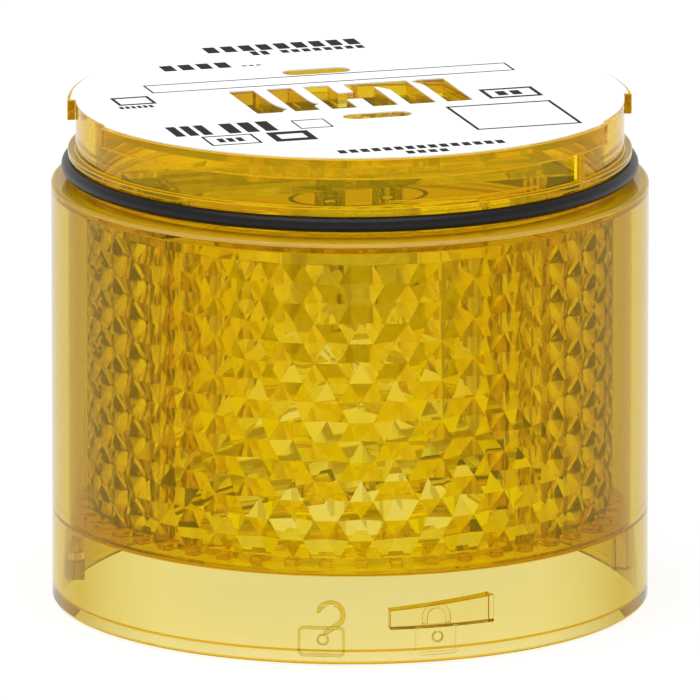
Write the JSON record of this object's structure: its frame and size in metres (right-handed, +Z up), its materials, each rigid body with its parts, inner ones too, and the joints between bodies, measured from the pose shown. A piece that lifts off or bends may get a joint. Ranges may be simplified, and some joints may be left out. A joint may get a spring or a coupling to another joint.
{
  "type": "signal tower lens unit",
  "caption": "Round transparent lens unit of a stackable signal tower, with a prismatic sleeve, twist-lock collar, through contacts and a bayonet lamp.",
  "frame": {"origin": "centre of the circle that the skirt's lower rim stands on", "axes": "+Z up along the tower's axis, towards the coupling collar; -Y is the front, the side of the closed padlock; +X is along the row of contact slots"},
  "size_m": [0.07, 0.07, 0.0597],
  "materials": {
    "lens_plastic": "transparent yellow polycarbonate, polished",
    "prism_plastic": "transparent yellow polycarbonate with moulded prisms",
    "carrier_plastic": "transparent yellow polycarbonate",
    "label_film": "white printed film",
    "seal_rubber": "black nitrile rubber",
    "contact_metal": "tinned brass strip",
    "holder_metal": "nickel plated brass",
    "lamp_metal": "nickel plated brass",
    "insulator_plastic": "moulded insulator",
    "lamp_insulator": "black insulator",
    "spring_steel": "drawn spring wire",
    "solder": "solder pad",
    "lamp_lens": "clear moulded dome",
    "circuit_board": "white solder mask",
    "chip_plastic": "light emitting chip packages"
  },
  "bodies": {
    "contact_carrier": {"carrier_base": "carrier_plastic", "pillar_left": "carrier_plastic", "pillar_right": "carrier_plastic", "socket_block": "carrier_plastic", "contact_strip_1": "contact_metal", "contact_strip_2": "contact_metal", "contact_strip_3": "contact_metal", "contact_strip_4": "contact_metal", "contact_strip_5": "contact_metal", "contact_strip_6": "contact_metal", "lampholder_shell": "holder_metal", "contact_spring_left": "spring_steel", "contact_spring_right": "spring_steel"},
    "lens_shell": {"lens_body": "lens_plastic", "prism_sleeve": "prism_plastic", "cap_collar": "lens_plastic", "cap_label": "label_film", "o_ring": "seal_rubber"},
    "sprung_contacts": {"contact_plate": "insulator_plastic", "contact_studs": "contact_metal"},
    "lamp": {"lamp_cap": "lamp_metal", "lamp_insulator": "lamp_insulator", "lamp_pads": "solder", "lamp_pins": "lamp_metal", "lamp_dome": "lamp_lens", "lamp_board": "circuit_board", "lamp_chips": "chip_plastic"}
  },
  "joints": [
    {"name": "lens_lift", "type": "slide", "parent": "contact_carrier", "child": "lens_shell", "axis": [0, 0, 1], "range_m": [0, 0.06]},
    {"name": "contact_push", "type": "slide", "parent": "contact_carrier", "child": "sprung_contacts", "axis": [0, 0, 1], "range_m": [0, 0.002], "stiffness_N_per_m": 7300, "springref_m": -0.001, "deforming": ["contact_spring_left", "contact_spring_right"]},
    {"name": "lamp_twist", "type": "hinge", "parent": "sprung_contacts", "child": "lamp", "pos_m": [0, 0, 0.044], "axis": [0, 0, 1], "range_deg": [-20, 0]}
  ]
}
